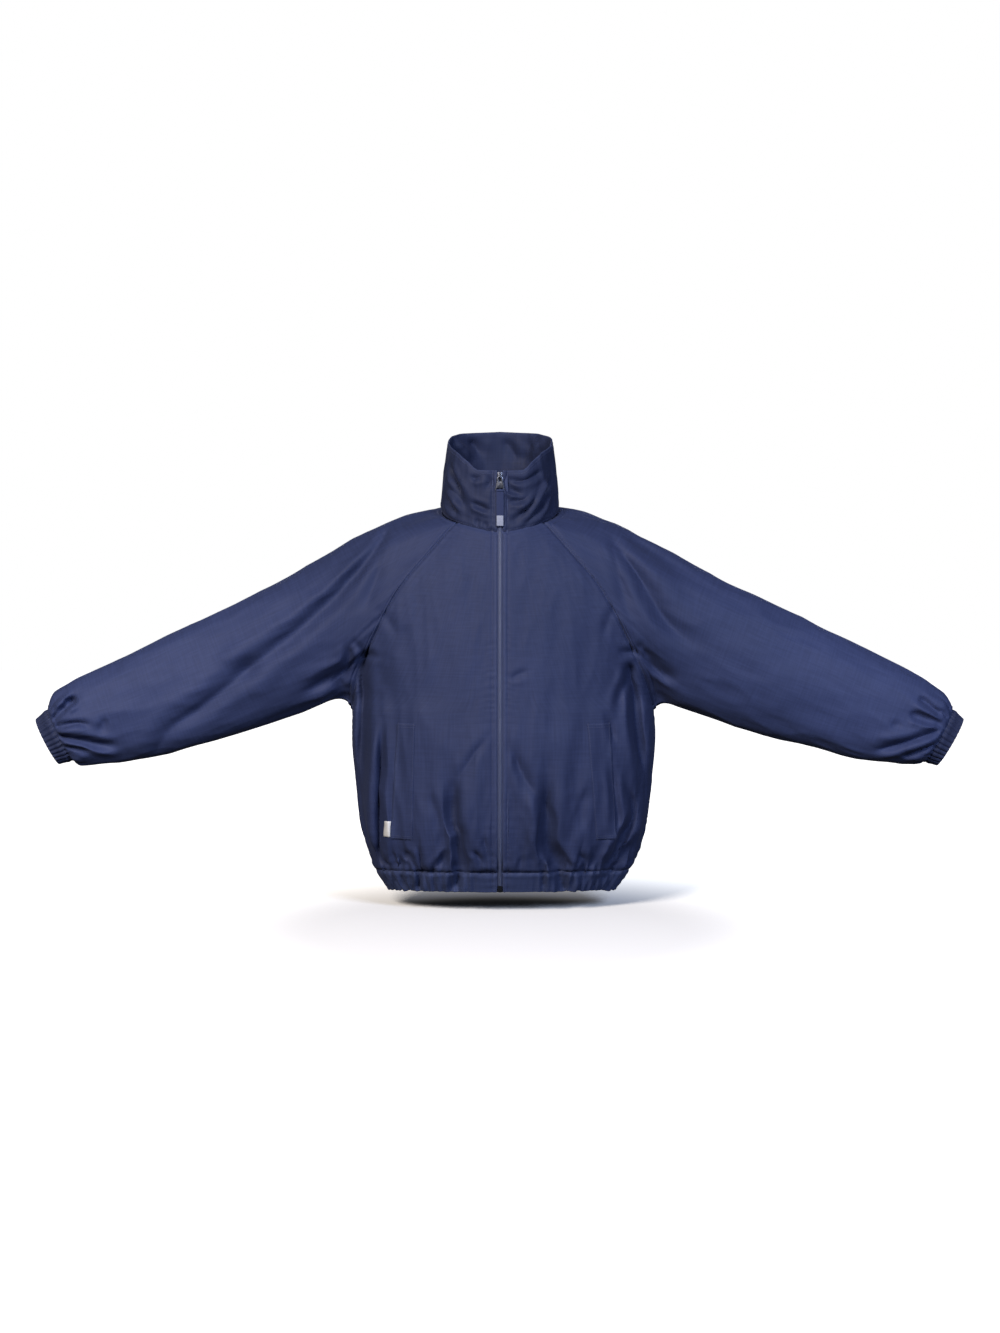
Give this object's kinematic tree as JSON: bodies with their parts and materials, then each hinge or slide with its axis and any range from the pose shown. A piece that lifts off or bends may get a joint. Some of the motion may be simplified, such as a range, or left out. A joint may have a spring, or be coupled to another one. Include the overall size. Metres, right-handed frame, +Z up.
{
  "type": "windbreaker jacket",
  "caption": "Zip-front nylon windbreaker with raglan sleeves, funnel collar, slanted pockets, elastic hem and cuffs, hollow and filled out as worn.",
  "frame": {"origin": "middle of the neck opening, at the height where the collar meets the shoulders", "axes": "+X towards the wearer's left hand, the front faces -Y, +Z up"},
  "size_m": [1.4862, 0.2682, 0.733],
  "materials": {
    "nylon": "woven navy nylon, soft sheen",
    "elastic_band": "gathered navy nylon over elastic",
    "zip_tape": "woven tape with nylon coil",
    "zip_metal": "dull gunmetal",
    "end_patch": "pale grey, plain",
    "label": "white woven, blank"
  },
  "bodies": {
    "jacket": {"front_right": "nylon", "front_left": "nylon", "back": "nylon", "sleeve_right": "nylon", "sleeve_left": "nylon", "collar": "nylon", "pocket_welt_right": "nylon", "pocket_welt_left": "nylon", "hem_front_right": "elastic_band", "hem_front_left": "elastic_band", "hem_back": "elastic_band", "cuff_right": "elastic_band", "cuff_left": "elastic_band", "zip_tape_right": "zip_tape", "zip_tape_left": "zip_tape", "zip_slider": "zip_metal", "zip_box": "zip_metal", "label": "label"},
    "pull": {"pull_link": "zip_metal", "pull_ribbon": "nylon", "pull_patch": "end_patch"}
  },
  "joints": [
    {"name": "pull_swing", "type": "hinge", "parent": "jacket", "child": "pull", "pos_m": [0, -0.08703, 0.05286], "axis": [-1, 0, 0], "range_deg": [0, 170]}
  ]
}
